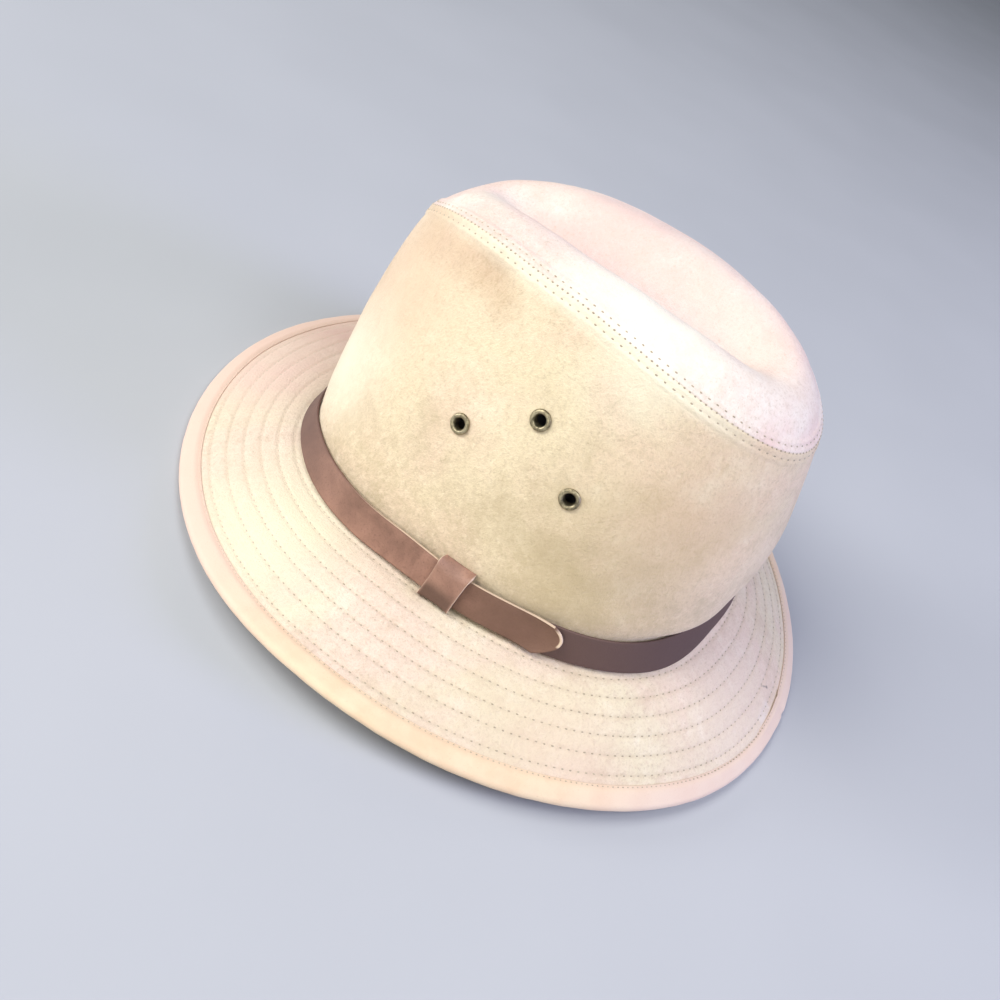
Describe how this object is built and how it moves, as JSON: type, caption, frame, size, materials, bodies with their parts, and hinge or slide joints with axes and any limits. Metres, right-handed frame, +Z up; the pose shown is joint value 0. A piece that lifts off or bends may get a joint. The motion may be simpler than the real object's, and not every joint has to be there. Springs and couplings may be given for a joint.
{
  "type": "fedora hat",
  "caption": "Suede fedora with a sewn, centre-dented crown, a row-stitched brim with a bound edge, a brown leather strap band with a keeper, and brass vent eyelets.",
  "frame": {"origin": "on the floor plane, under the middle of the hat's bounding box", "axes": "+Z up, -Y to the hat's front, +X to the wearer's left; the hat rests on its brim and leans 3.8 degrees forward"},
  "size_m": [0.3018, 0.3098, 0.1532],
  "materials": {
    "suede": "napped matte",
    "binding": "smooth matte",
    "strap": "smooth satin",
    "brass": "antiqued"
  },
  "bodies": {
    "root": {"crown_side": "suede", "crown_tip": "suede", "brim": "suede", "brim_binding": "binding", "hat_band": "strap", "band_keeper": "strap", "eyelet_left_1": "brass", "eyelet_left_2": "brass", "eyelet_left_3": "brass", "eyelet_right_1": "brass", "eyelet_right_2": "brass", "eyelet_right_3": "brass"}
  },
  "joints": []
}
